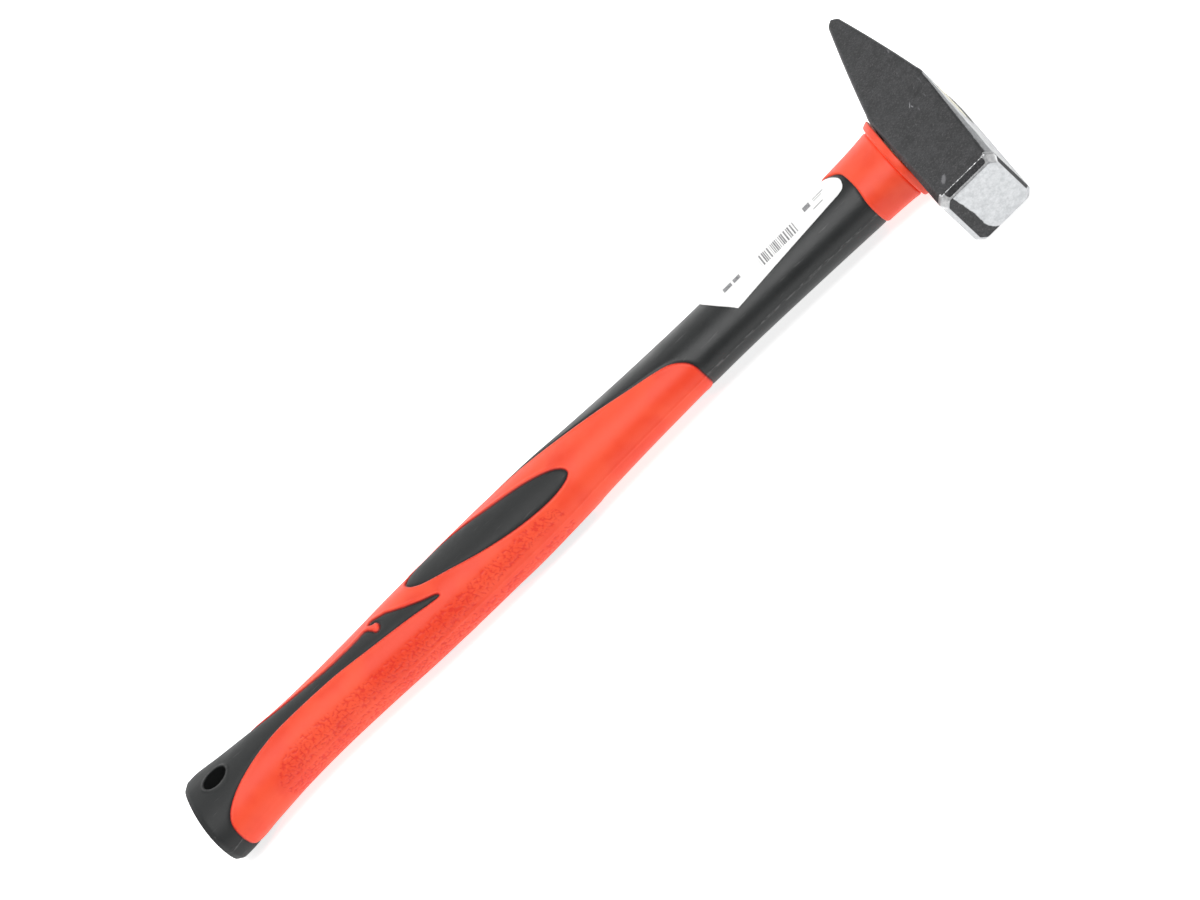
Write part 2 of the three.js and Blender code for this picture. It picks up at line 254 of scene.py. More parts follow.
def unrolled(points):
    """Places (x, y) on the handle's upper half as (x, distance round the skin from the striking side)."""
    out = []
    turn = np.linspace(math.pi, 0, 400)
    for x, y in points:
        half_y, half_z, shift = (float(along_handle(x, k)) for k in (1, 2, 3))
        skin_y = half_y * signed_power(np.cos(turn), 2 / SECTION_POWER)
        skin_z = half_z * np.abs(np.sin(turn)) ** (2 / SECTION_POWER)
        length = np.concatenate([[0], np.cumsum(np.hypot(np.diff(skin_y), np.diff(skin_z)))])
        beyond = max(abs(y - shift) - half_y, 0) * np.sign(y - shift)
        out.append((x, np.interp(y - shift, skin_y, length) + beyond))
    return np.array(out)


def signed_distance(points, polygon):
    """Distance of each point from a closed polygon's edge, positive inside it."""
    nearest = np.full(len(points), 1e9)
    inside = np.zeros(len(points), bool)
    px, py = points[:, 0], points[:, 1]
    for (ax, ay), (bx, by) in zip(polygon, np.roll(polygon, -1, axis=0)):
        dx, dy = bx - ax, by - ay
        t = np.clip(((px - ax) * dx + (py - ay) * dy) / max(dx * dx + dy * dy, 1e-12), 0, 1)
        nearest = np.minimum(nearest, (px - ax - t * dx) ** 2 + (py - ay - t * dy) ** 2)
        if ay != by:
            crossing = (ay > py) != (by > py)
            inside ^= crossing & (px < ax + (py - ay) * dx / dy)
    return np.where(inside, 1, -1) * np.sqrt(nearest)


GRIP_OUTLINE = unrolled(np.vstack([
    [(-105.8, -FAR)], spline(GRIP_ARCH), [(-211, FAR), (-284, FAR)], spline(TAIL_UPPER), HOOK_NECK,
    arc(HOOK_BALL_CENTRE, HOOK_BALL_RADII, *HOOK_BALL_TURNS), HOOK_SLIT, spline(TAIL_TIP),
    spline(TAIL_LOWER), [(-299, -FAR)],
]))
WINDOW_OUTLINE = unrolled(spline(WINDOW, closed=True))
TEXTURE_OUTLINE = unrolled(np.vstack([[(-160.5, -FAR)], spline(TEXTURE_EDGE), [(-280, -FAR)]]))
COLLAR_OUTLINE = unrolled(np.vstack([[(-38, -FAR)], spline(COLLAR_RIM), [(-46, FAR), (0, FAR), (0, -FAR)]]))

# ---------------------------------------------------------------- meshes


def placed(points):
    """Millimetres from the top of the head to metres in the shared frame."""
    return ORIGIN + np.asarray(points, float) * MM


def mesh_object(name, points, faces, material, sharp_angle=None):
    mesh = bpy.data.meshes.new(name)
    mesh.from_pydata(placed(points).tolist(), [], faces)
    mesh.update()
    mesh.shade_smooth()
    if sharp_angle is not None:
        mesh.set_sharp_from_angle(angle=math.radians(sharp_angle))
    mesh.materials.append(material)
    made = bpy.data.objects.new(name, mesh)
    bpy.context.scene.collection.objects.link(made)
    return made


def row_quads(rows, columns, wrap=True):
    """Quads between neighbouring rows of points, each row with the same number of columns."""
    last = columns if wrap else columns - 1
    r, c = np.meshgrid(np.arange(rows - 1), np.arange(last), indexing="ij")
    a = (r * columns + c).ravel()
    b = (r * columns + (c + 1) % columns).ravel()
    return np.column_stack([a, b, b + columns, a + columns])


def caps(rows, columns):
    """The two end faces of a tube of such rows."""
    first = list(range(columns))[::-1]
    last = [(rows - 1) * columns + c for c in range(columns)]
    return [first, last]


def tube_object(name, rows_of_points, material, sharp_angle=None):
    """A solid through rings of points, with an end face at each end."""
    rows, columns = rows_of_points.shape[:2]
    faces = row_quads(rows, columns).tolist() + caps(rows, columns)
    return mesh_object(name, rows_of_points.reshape(-1, 3), faces, material, sharp_angle)


def drop_faces(mesh, unwanted):
    """Removes the faces for which unwanted, with one value for each face, is true."""
    work = bmesh.new()
    work.from_mesh(mesh)
    gone = [face for face, drop in zip(work.faces, unwanted) if drop]
    bmesh.ops.delete(work, geom=gone, context="FACES")
    work.to_mesh(mesh)
    work.free()


def cut_away(target, cutter):
    """Takes the cutter's solid out of the target's and removes the cutter."""
    modifier = target.modifiers.new("cut", "BOOLEAN")
    modifier.operation = "DIFFERENCE"
    modifier.solver = "MANIFOLD"
    modifier.object = cutter
    graph = bpy.context.evaluated_depsgraph_get()
    baked = bpy.data.meshes.new_from_object(target.evaluated_get(graph))
    target.modifiers.clear()
    target.data = baked
    bpy.data.objects.remove(cutter)


def tool_points(mesh):
    """A mesh's points back in millimetres from the top of the head."""
    flat = np.empty(len(mesh.vertices) * 3, np.float32)
    mesh.vertices.foreach_get("co", flat)
    return (flat.reshape(-1, 3) - ORIGIN) / MM


def set_point_values(mesh, name, values):
    attribute = mesh.attributes.new(name, "FLOAT", "POINT")
    attribute.data.foreach_set("value", np.asarray(values, np.float32).ravel())


# ---------------------------------------------------------------- the handle's skin


class Skin:
    """The handle's outer surface as rows of points at the given places, evenly spaced round each section."""

    def __init__(self, places, columns):
        half_y, half_z, shift = (along_handle(places, k)[:, None] for k in (1, 2, 3))
        bevel = BUTT_BEVEL_INSET * np.logaddexp(0, (BUTT_BEVEL_START - places) / 0.2) * 0.2
        bevel = (bevel / (BUTT_BEVEL_START - BUTT_X))[:, None]
        half_y, half_z = half_y - bevel, half_z - bevel * 0.75
        fine = np.linspace(0, 2 * math.pi, 1441)
        fine_y = half_y * signed_power(np.cos(fine), 2 / SECTION_POWER)
        fine_z = half_z * signed_power(np.sin(fine), 2 / SECTION_POWER)
        steps = np.hypot(np.diff(fine_y, axis=1), np.diff(fine_z, axis=1))
        length = np.concatenate([np.zeros((len(places), 1)), np.cumsum(steps, axis=1)], axis=1)
        share = np.linspace(0, 1, columns, endpoint=False)
        turn = np.array([np.interp(share * row[-1], row, fine) for row in length])
        c, s = np.cos(turn), np.sin(turn)
        self.round_trip = length[:, -1:]
        self.side = (share[None, :] - 0.5) * self.round_trip  # distance round the skin from the striking side
        self.x = np.repeat(places[:, None], columns, axis=1)
        self.y = shift + half_y * signed_power(c, 2 / SECTION_POWER)
        self.z = half_z * signed_power(s, 2 / SECTION_POWER)
        out_y = signed_power(c, 2 - 2 / SECTION_POWER) / half_y
        out_z = signed_power(s, 2 - 2 / SECTION_POWER) / half_z
        size = np.hypot(out_y, out_z)
        self.out_y, self.out_z = out_y / size, out_z / size
        lean = BUTT_SLANT * smoothstep(0, BUTT_SLANT_START - BUTT_X, BUTT_SLANT_START - self.x)
        self.lean = lean * (self.y - shift + half_y)

    def distance_in(self, polygon):
        """How far each place is inside an unrolled outline, which is the same on the lower half."""
        flat = np.column_stack([self.x.ravel(), np.abs(self.side).ravel()])
        return signed_distance(flat, polygon).reshape(self.x.shape)

    def raised(self, height):
        """The points, moved out from the skin by a height."""
        y = self.y + self.out_y * height
        z = self.z + self.out_z * height
        return np.stack([self.x + self.lean, y, z], axis=-1)


def grip_depth(skin):
    """How far each place is inside the red grip's area, negative outside it."""
    return np.minimum(skin.distance_in(GRIP_OUTLINE), -skin.distance_in(WINDOW_OUTLINE))


def parting_line(skin, height, width):
    """The thin ridge that the mould leaves along the striking side and along the pein side."""
    from_line = np.minimum(np.abs(skin.side), skin.round_trip / 2 - np.abs(skin.side))
    return height * bump(from_line, width)


def soft_waves(x, y, pitch, count, spread):
    """The sum of many plane waves of like length in all directions: where it is 0, lines wind like worms."""
    total = np.zeros_like(x)
    for _ in range(count):
        turn = rng.uniform(0, 2 * math.pi)
        pace = 2 * math.pi / (pitch * rng.uniform(1 - spread, 1 + spread))
        total += np.cos(pace * (x * math.cos(turn) + y * math.sin(turn)) + rng.uniform(0, 2 * math.pi))
    return total / math.sqrt(count)


# ---------------------------------------------------------------- node helpers


class Look:
    """A material that is built up by small steps, with the piece's own coordinates in millimetres."""

    def __init__(self, name):
        self.material = bpy.data.materials.new(name)
        self.material.use_nodes = True
        self.tree = self.material.node_tree
        self.shader = self.tree.nodes["Principled BSDF"]
        place = self.tree.nodes.new("ShaderNodeTexCoord").outputs["Object"]
        shifted = self.vector("SUBTRACT", place, Vector(ORIGIN))
        self.place = self.vector("SCALE", shifted, scale=1 / MM)
        parts = self.tree.nodes.new("ShaderNodeSeparateXYZ")
        self.tree.links.new(self.place, parts.inputs[0])
        self.x, self.y, self.z = parts.outputs

    def feed(self, socket, value):
        if isinstance(value, bpy.types.NodeSocket):
            self.tree.links.new(value, socket)
        else:
            socket.default_value = value

    def vector(self, operation, a, b=None, scale=None):
        node = self.tree.nodes.new("ShaderNodeVectorMath")
        node.operation = operation
        self.feed(node.inputs[0], a)
        if b is not None:
            self.feed(node.inputs[1], b)
        if scale is not None:
            self.feed(node.inputs["Scale"], scale)
        return node.outputs[0]

    def math(self, operation, a, b=None, clamp=False):
        node = self.tree.nodes.new("ShaderNodeMath")
        node.operation = operation
        node.use_clamp = clamp
        self.feed(node.inputs[0], a)
        if b is not None:
            self.feed(node.inputs[1], b)
        return node.outputs[0]

    def rise(self, value, start, end, low=0.0, high=1.0):
        """Low before start, high after end, smooth between; start may be the larger one."""
        node = self.tree.nodes.new("ShaderNodeMapRange")
        node.interpolation_type = "SMOOTHSTEP"
        flip = start > end
        for socket, number in zip(
            ("From Min", "From Max", "To Min", "To Max"),
            (end, start, high, low) if flip else (start, end, low, high),
        ):
            node.inputs[socket].default_value = number
        self.feed(node.inputs["Value"], value)
        return node.outputs["Result"]

    def noise(self, size, detail=3.0, roughness=0.55, stretch=(1, 1, 1), kind="ShaderNodeTexNoise"):
        """Noise whose features are about size millimetres, longer along an axis by its stretch."""
        scaled = self.vector("MULTIPLY", self.place, Vector([1 / (size * s) for s in stretch]))
        node = self.tree.nodes.new(kind)
        node.inputs["Scale"].default_value = 1.0
        node.inputs["Detail"].default_value = detail
        node.inputs["Roughness"].default_value = roughness
        self.tree.links.new(scaled, node.inputs["Vector"])
        return node.outputs[0]

    def blend(self, factor, a, b):
        node = self.tree.nodes.new("ShaderNodeMix")
        node.data_type = "RGBA"
        self.feed(node.inputs["Factor"], factor)
        self.feed(node.inputs["A"], a)
        self.feed(node.inputs["B"], b)
        return node.outputs["Result"]

    def attribute(self, name):
        node = self.tree.nodes.new("ShaderNodeAttribute")
        node.attribute_name = name
        return node.outputs["Fac"]

    def relief(self, height, depth_mm, strength=1.0, below=None):
        """Bump of the given depth for a height from 0 to 1, on top of another bump."""
        node = self.tree.nodes.new("ShaderNodeBump")
        node.inputs["Strength"].default_value = strength
        node.inputs["Distance"].default_value = depth_mm * MM
        self.tree.links.new(height, node.inputs["Height"])
        if below is not None:
            self.tree.links.new(below, node.inputs["Normal"])
        return node.outputs["Normal"]

    def set(self, **sockets):
        for name, value in sockets.items():
            self.feed(self.shader.inputs[name.replace("_", " ").title().replace("Ior", "IOR")], value)


def rgb(r, g, b):
    return (r, g, b, 1.0)


# ---------------------------------------------------------------- materials


def black_plastic():
    look = Look("satin_black_plastic")
    cloud = look.noise(9)
    grain = look.noise(0.35, detail=2)
    scuff = look.noise(1.1, detail=5, stretch=(9, 1, 1))
    rub = look.rise(scuff, 0.64, 0.76)
    base = look.blend(cloud, rgb(0.0080, 0.0090, 0.0092), rgb(0.0165, 0.0180, 0.0183))
    near_seam = look.rise(look.math("ABSOLUTE", look.z), 0.55, 0.15)
    seam_rub = look.rise(look.noise(0.7, detail=4, stretch=(4, 1, 1)), 0.45, 0.62)
    seam_wear = look.math("MULTIPLY", near_seam, seam_rub)
    rub = look.math("MAXIMUM", rub, look.math("MULTIPLY", seam_wear, 1.6))
    # The ridge round the hang hole is painted lighter, in patches.
    lighter_lip = look.math("MULTIPLY", hole_lip_ridge(look), look.rise(scuff, 0.3, 0.6, 0.3, 1.0))
    rub = look.math("MAXIMUM", rub, lighter_lip)
    look.set(
        base_color=look.blend(look.math("MULTIPLY", rub, 0.4), base, rgb(0.09, 0.09, 0.09)),
        roughness=look.math(
            "ADD", look.rise(cloud, 0.3, 0.7, 0.36, 0.44), look.rise(look.x, -140, -160, 0.0, 0.2)
        ),
        specular_ior_level=0.38,
        normal=look.relief(grain, 0.02, below=look.relief(look.noise(3.5), 0.06)),
    )
    return look.material


def hole_lip_ridge(look):
    """1 on the ridge round the hang hole, 0 elsewhere."""
    along = look.math("MULTIPLY", look.math("SUBTRACT", look.x, HOLE_CENTRE[0]), 1 / HOLE_HALF_LENGTH)
    across = look.math("MULTIPLY", look.math("SUBTRACT", look.y, HOLE_CENTRE[1]), 1 / HOLE_HALF_WIDTH)
    reach = look.math("ADD", look.math("MULTIPLY", along, along), look.math("MULTIPLY", across, across))
    return look.math("MULTIPLY", look.rise(reach, 1.08, 1.2), look.rise(reach, 1.5, 1.3))


def red_rubber(name, bright, deep, roughness, valley_shade):
    look = Look(name)
    cloud = look.noise(14, detail=2)
    grain = look.noise(0.4, detail=3)
    tone = look.blend(look.rise(cloud, 0.35, 0.65), deep, bright)
    if valley_shade:
        relief = look.attribute("relief")
        valley = look.rise(relief, 0.9, 0.2)
        tone = look.blend(look.math("MULTIPLY", valley, valley_shade), tone, rgb(0.60, 0.010, 0.007))
        # Painted shade: the red is darkened to a near-black line along its edge with the black plastic, where
        # the groove between them lies in shade.
        painted_gap_shade = look.rise(relief, -0.1, -0.8)
        tone = look.blend(look.math("MULTIPLY", painted_gap_shade, 0.75), tone, rgb(0.07, 0.006, 0.005))
    smudge = look.rise(look.noise(5, detail=4), 0.58, 0.8, 0.0, 0.35)
    dullness = look.math(
        "ADD", look.math("MULTIPLY", grain, 0.12), look.rise(cloud, 0.3, 0.7, roughness, roughness + 0.08)
    )
    look.set(
        base_color=look.blend(smudge, tone, deep),
        specular_ior_level=0.36,
        sheen_weight=0.25,
        sheen_roughness=0.35,
        sheen_tint=rgb(1.0, 0.75, 0.7),
        roughness=dullness,
        normal=look.relief(grain, 0.03, below=look.relief(look.noise(4.5, detail=1), 0.1)),
    )
    return look.material


def lacquered_steel():
    """Dark lacquer over a forging, with the metal bare where the point value "bare" says so."""
    look = Look("lacquered_and_ground_steel")
    mottle = look.noise(4.5, detail=6, roughness=0.7)
    speck = look.noise(0.55, detail=3, roughness=0.7)
    lacquer = look.blend(look.rise(mottle, 0.35, 0.65), rgb(0.0155, 0.0165, 0.0175), rgb(0.031, 0.032, 0.034))
    lacquer = look.blend(look.rise(speck, 0.5, 0.72, 0.0, 0.7), lacquer, rgb(0.080, 0.074, 0.077))
    lacquer = look.blend(look.rise(speck, 0.5, 0.3, 0.0, 0.8), lacquer, rgb(0.008, 0.008, 0.009))
    lacquer = look.blend(scuffs_on_cheek(look), lacquer, rgb(0.20, 0.20, 0.21))
    lacquer = look.blend(dark_smear(look), lacquer, rgb(0.006, 0.006, 0.007))
    grinding = look.noise(1.3, detail=6, roughness=0.75)
    metal = look.blend(look.rise(grinding, 0.3, 0.7), rgb(0.38, 0.39, 0.40), rgb(0.52, 0.53, 0.54))
    off_face = look.rise(look.y, FACE_Y + 0.1, FACE_Y + 0.2)
    # Painted highlight: the ground facets at the upper cheek's corners near the face get a much lighter metal
    # colour, which stands in for the light they catch.
    facet_end = look.rise(look.y, FACE_Y + FACET_LENGTH + 0.6, FACE_Y + FACET_LENGTH)
    facets = look.math("MULTIPLY", look.rise(look.z, 6.0, 8.0), look.math("MULTIPLY", off_face, facet_end))
    bright = look.blend(look.rise(grinding, 0.3, 0.7), rgb(0.50, 0.51, 0.52), rgb(0.80, 0.80, 0.80))
    metal = look.blend(facets, metal, bright)
    strokes = look.rise(look.noise(0.5, detail=4, stretch=(1, 14, 1)), 0.35, 0.65)
    ground_top = look.blend(strokes, rgb(0.22, 0.225, 0.23), rgb(0.50, 0.51, 0.52))
    metal = look.blend(look.rise(look.x, -0.3, -0.1), metal, ground_top)
    raggedness = look.math("MULTIPLY", look.math("SUBTRACT", speck, 0.5), 0.45)
    ragged = look.math("ADD", look.attribute("bare"), raggedness)
    bare = look.math("MULTIPLY", look.rise(ragged, 0.42, 0.58), unground_band(look))
    scratch = look.noise(0.16, detail=3, stretch=(14, 1, 1))
    dents = look.rise(look.noise(2.4, detail=3), 0.66, 0.8)
    look.set(
        base_color=look.blend(bare, lacquer, metal),
        metallic=bare,
        roughness=look.math(
            "ADD", look.rise(bare, 0, 1, 0.42, 0.34), look.math("MULTIPLY", mottle, 0.16)
        ),
        specular_ior_level=0.42,
        normal=look.relief(
            look.math("MULTIPLY", scratch, bare), 0.02,
            below=look.relief(dents, -0.12, below=look.relief(speck, 0.05, below=look.relief(mottle, 0.05))),
        ),
    )
    return look.material


def spot(look, x, y, long, wide, turn):
    """1 inside an elliptical mark on the upper cheek, 0 outside, with a soft and slightly ragged edge."""
    along, across = look.math("SUBTRACT", look.x, x), look.math("SUBTRACT", look.y, y)
    c, s = math.cos(math.radians(turn)), math.sin(math.radians(turn))
    u = look.math("ADD", look.math("MULTIPLY", along, c / long), look.math("MULTIPLY", across, s / long))
    v = look.math("SUBTRACT", look.math("MULTIPLY", across, c / wide), look.math("MULTIPLY", along, s / wide))
    reach = look.math("SQRT", look.math("ADD", look.math("MULTIPLY", u, u), look.math("MULTIPLY", v, v)))
    ragged = look.math("ADD", reach, look.math("MULTIPLY", look.noise(0.6), 0.8))
    on_cheek = look.rise(look.z, HEAD_HALF - 1, HEAD_HALF - 0.4)
    return look.math("MULTIPLY", look.rise(ragged, 1.5, 0.9), on_cheek)


def scuffs_on_cheek(look):
    """Light rub marks: a short bent scratch in the middle, a smudge near the face, fine streaks elsewhere."""
    long_scratch, short_scratch = spot(look, -9.3, -1.4, 1.3, 0.22, 60), spot(look, -9.0, -2.6, 0.9, 0.2, 100)
    scratch = look.math("MAXIMUM", long_scratch, short_scratch)
    smudge = look.math("MULTIPLY", spot(look, -15.6, -39.4, 2.3, 0.9, 65), 0.65)
    edge_mark = look.math("MULTIPLY", spot(look, -3.8, 25.8, 1.2, 0.3, 80), 0.5)
    streaks = look.rise(look.noise(0.5, detail=2, stretch=(3, 12, 1)), 0.68, 0.8, 0.0, 0.3)
    larger_marks = look.math("MAXIMUM", scratch, smudge)
    return look.math("MAXIMUM", larger_marks, look.math("MAXIMUM", edge_mark, streaks))


def dark_smear(look):
    """Two dark stains near the middle of the upper cheek."""
    wide_stain, small_stain = spot(look, -5.9, 0.3, 1.8, 1.1, 20), spot(look, -8.2, -3.4, 0.9, 0.4, 80)
    return look.math("MULTIPLY", look.math("MAXIMUM", wide_stain, small_stain), 0.6)


def unground_band(look):
    """0 on the strip along the striking face's lower side that is not ground, 1 elsewhere."""
    to_upper = look.math("MAXIMUM", look.z, 0.0)
    past_curve = look.math("SUBTRACT", look.math("MULTIPLY", look.z, -1.0), BAND_CURVE_START)
    to_corner = look.math("MAXIMUM", past_curve, 0.0)
    edge = look.math("ADD", look.math("MULTIPLY", to_upper, -0.14), BAND_EDGE - HEAD_HALF)
    edge = look.math("ADD", edge, look.math("MULTIPLY", look.math("MULTIPLY", to_corner, to_corner), 0.12))
    wobble = look.math("MULTIPLY", look.math("SUBTRACT", look.noise(1.2), 0.5), 0.7)
    beyond = look.math("ADD", look.math("SUBTRACT", look.x, edge), wobble)
    elsewhere = look.rise(look.y, FACE_Y + 0.05, FACE_Y + 0.14)
    return look.math("MAXIMUM", look.rise(beyond, -0.15, 0.15), elsewhere)


def printed_paper():
    """White sticker paper with plain printed blocks: a row of bars, a few short lines and a solid mark."""
    look = Look("white_sticker_paper")
    fibre = look.noise(0.5, detail=4)
    white = look.blend(fibre, rgb(0.80, 0.80, 0.79), rgb(0.90, 0.90, 0.89))

    def inside(value, low, high, soft=0.12):
        return look.math(
            "MULTIPLY", look.rise(value, low - soft, low + soft), look.rise(value, high + soft, high - soft)
        )

    stripe = look.tree.nodes.new("ShaderNodeTexNoise")
    stripe.noise_dimensions = "1D"
    stripe.inputs["Scale"].default_value = 1.0
    stripe.inputs["Detail"].default_value = 0.0
    look.tree.links.new(look.math("MULTIPLY", look.x, 1.9), stripe.inputs["W"])
    bars = look.rise(stripe.outputs[0], 0.5, 0.53)
    bar_area = look.math("MULTIPLY", inside(look.x, -72.2, -57.6), inside(look.y, -3.7, 1.5))
    bars = look.math("MULTIPLY", bars, bar_area)
    ink = bars
    for x_low, x_high, y_low, y_high in (
        (-52.8, -50.2, 0.4, 3.0), (-48.8, -44.6, 2.1, 2.5), (-48.8, -45.6, 1.1, 1.4),
        (-50.2, -46.4, -1.9, -1.5), (-85.8, -82.6, 0.3, 2.3), (-81.8, -79.2, 0.3, 2.3),
    ):
        block = look.math("MULTIPLY", inside(look.x, x_low, x_high), inside(look.y, y_low, y_high))
        ink = look.math("MAXIMUM", ink, block)
    faded = look.math("MULTIPLY", ink, look.rise(fibre, 0.3, 0.7, 0.7, 0.95))
    look.set(
        base_color=look.blend(faded, white, rgb(0.09, 0.09, 0.10)),
        roughness=look.rise(fibre, 0.3, 0.7, 0.42, 0.55),
        normal=look.relief(fibre, 0.02),
    )
    return look.material


def cast_resin():
    look = Look("cast_epoxy_resin")
    cloud = look.noise(2.5, detail=4)
    look.set(
        base_color=look.blend(cloud, rgb(0.36, 0.34, 0.28), rgb(0.52, 0.50, 0.43)),
        roughness=look.rise(cloud, 0.3, 0.7, 0.15, 0.3),
        normal=look.relief(look.noise(1.8), 0.12),
    )
    return look.material


def glass_fibre_rod():
    look = Look("glass_fibre_rod")
    strands = look.noise(0.35, detail=4, stretch=(30, 1, 1))
    look.set(
        base_color=look.blend(strands, rgb(0.58, 0.54, 0.38), rgb(0.82, 0.80, 0.66)),
        roughness=look.rise(strands, 0.3, 0.7, 0.35, 0.6),
        normal=look.relief(strands, 0.08),
    )
    return look.material


# ---------------------------------------------------------------- the handle


def hole_distance(x, y):
    """Distance outside the hang hole's edge, in the plane of the cheeks."""
    reach = np.hypot((x - HOLE_CENTRE[0]) / HOLE_HALF_LENGTH, (y - HOLE_CENTRE[1]) / HOLE_HALF_WIDTH)
    return (reach - 1) * (HOLE_HALF_LENGTH + HOLE_HALF_WIDTH) / 2


def butt_cap(points, rings=10, dome=0.5):
    """Rings that close the butt, from its middle, which is a little further out, to its edge."""
    edge = points[0]
    centre = edge.mean(axis=0)
    made = []
    for k in range(1, rings + 1):
        size = math.sin(0.5 * math.pi * k / (rings + 1))
        ring = centre + (edge - centre) * size
        ring[:, 0] -= dome * (1 - size**6)
        made.append(ring)
    return np.array(made)


def handle_body(material):
    fine = np.arange(BUTT_X, BUTT_X + 5, BUTT_SPACING)
    places = np.concatenate([fine, np.arange(BUTT_X + 5, NECK_TOP, ROW_SPACING), [NECK_TOP]])
    skin = Skin(places, HANDLE_COLUMNS)
    depth = grip_depth(skin)
    collar = skin.distance_in(COLLAR_OUTLINE)
    edge = np.maximum(depth, collar)
    height = -0.3 * bump(edge, 0.4) - 0.08 * bump(edge, 1.6) * (edge < 0) - 1.3 * smoothstep(0, 0.9, edge)
    height += parting_line(skin, 0.12, 0.35)
    height -= 0.05 * bump(skin.x + 88, 0.3) * (skin.side < 0)
    from_hole = hole_distance(skin.x + skin.lean, skin.y)
    height += HOLE_LIP_HEIGHT * bump(from_hole - HOLE_LIP_WIDTH / 2, HOLE_LIP_WIDTH / 2)
    points = skin.raised(height)
    cap = butt_cap(points)
    hidden = np.vstack([np.zeros(cap.shape[:2], bool), edge > 1.3])
    points = np.concatenate([cap, points])
    rows, columns = points.shape[:2]
    body = tube_object("handle_shell", points, material)
    marker = bpy.data.materials.new("hidden_under_rubber")
    body.data.materials.append(marker)
    marker_slot = 1
    quads = row_quads(rows, columns)
    slots = np.zeros(len(body.data.polygons), np.int32)
    slots[: len(quads)] = hidden.ravel()[quads].all(axis=1) * marker_slot
    slots[-1] = marker_slot  # the end face at the neck, which the collar and the head hide
    body.data.polygons.foreach_set("material_index", slots)
    cut_away(body, hole_cutter(material))
    drop_faces(body.data, [face.material_index == marker_slot for face in body.data.polygons])
    body.data.materials.pop(index=marker_slot)
    bpy.data.materials.remove(marker)
    body.data.set_sharp_from_angle(angle=math.radians(50))
    return body


def hole_cutter(material):
    ring = arc((0, 0), (1, 1), 0, 360, 121)[:-1]
    flat = np.column_stack([
        HOLE_CENTRE[0] + HOLE_HALF_LENGTH * ring[:, 0],
        HOLE_CENTRE[1] + HOLE_HALF_WIDTH * ring[:, 1],
        np.zeros(len(ring)),
    ])
    heights = np.linspace(-FAR / 4, FAR / 4, 60)
    points = np.array([flat + (0, 0, z) for z in heights])
    return tube_object("hole_cutter", points, material)


def grip_sleeve(material):
    butt_end = np.arange(-300, -281, ROW_SPACING)
    textured = np.arange(-281, -159, FINE_SPACING)
    head_end = np.arange(-159, -104.5, ROW_SPACING)
    skin = Skin(np.concatenate([butt_end, textured, head_end]), GRIP_COLUMNS)
    depth = grip_depth(skin)
    rise = -0.45 * np.exp(-np.maximum(depth, 0) / 0.25) + 1.9 * np.minimum(depth, 0)
    lip = 0.12 * bump(depth - 0.9, 0.6)
    patch = smoothstep(-0.2, 0.8, skin.distance_in(TEXTURE_OUTLINE)) * smoothstep(0.9, 2.2, depth)
    margin = 0.2 + 1.1 * smoothstep(-215, -180, skin.x)
    patch *= smoothstep(margin, margin + 0.6, np.abs(skin.side))
    grooves = bump(soft_waves(skin.x, skin.side, TEXTURE_PITCH, TEXTURE_WAVES, TEXTURE_SPREAD), TEXTURE_GROOVE)
    breaks = soft_waves(skin.x, skin.side, TEXTURE_PITCH, TEXTURE_WAVES, TEXTURE_SPREAD)
    grooves *= 0.4 + 0.6 * smoothstep(-0.8, 0.2, breaks)
    relief = 1 - patch * grooves
    ridge = parting_line(skin, 0.16, 0.35) * (0.25 + 0.75 * smoothstep(-235, -205, skin.x))
    height = rise + lip + ridge + TEXTURE_HEIGHT * (relief - 1)
    # Near the edge with the black plastic the attribute goes below 0, which the red's material paints as a
    # dark line of painted shade.
    relief = np.where(depth < 0.6, -smoothstep(0.55, 0.1, depth), relief)
    grip = tube_object("grip_rubber", skin.raised(height), material)
    set_point_values(grip.data, "relief", relief)
    wanted = (depth > -0.45).ravel()[row_quads(*skin.x.shape)].any(axis=1)
    drop_faces(grip.data, [*~wanted, True, True])  # the last two are the end faces
    return grip


def guard_collar(material):
    """The red sleeve under the head: a wavy rim, a body that flares to a flange, and a bore."""
    rim = spline(COLLAR_RIM, 12)
    share = np.linspace(0, 2 * math.pi, COLLAR_COLUMNS, endpoint=False)
    rim_y = 13.0 * np.cos(share)
    rim_x = np.interp(rim_y, rim[:, 1], rim[:, 0])
    # Each row is (share of the way from rim to flange, height over the skin, share of the flange's shape).
    profile = [(-0.004, -COLLAR_THICKNESS, 0.0), (-0.012, -0.3, 0.0), (0.0, 0.12, 0.0), (0.02, 0.3, 0.0)]
    profile += [(t, COLLAR_PROUD + 0.5 * t**4, 0.0) for t in np.linspace(0.05, 0.93, 26)]
    profile += [(0.95, 0.68, 0.0), (0.968, 0.45, 0.0), (0.982, 0.3, 0.0), (0.992, 0.35, 0.1), (1.0, 0.6, 0.45)]
    rows = []
    for t, height, flange in profile:
        rows.append(collar_row(rim_x + (FLANGE_BOTTOM - rim_x) * t, share, height, flange))
    # Each row of the bead is (height above the flange's bottom, share of the flange's shape).
    bead = [(0.15, 0.6), (0.4, 0.7), (0.9, 0.81), (1.4, 0.91), (1.8, 0.98), (2.1, 1.0), (2.3, 0.93)]
    bead += [(FLANGE_TOP, 0.6)]
    for up, flange in bead:
        rows.append(collar_row(np.full(COLLAR_COLUMNS, FLANGE_BOTTOM + up), share, BEAD_HEIGHT, flange))
    rows.append(collar_row(np.full(COLLAR_COLUMNS, FLANGE_BOTTOM + FLANGE_TOP), share, -COLLAR_THICKNESS, 0.0))
    rows.append(rows[0].copy())
    points = np.array(rows)
    return mesh_object(
        "collar_rubber", points.reshape(-1, 3), row_quads(*points.shape[:2]).tolist(), material, sharp_angle=60
    )


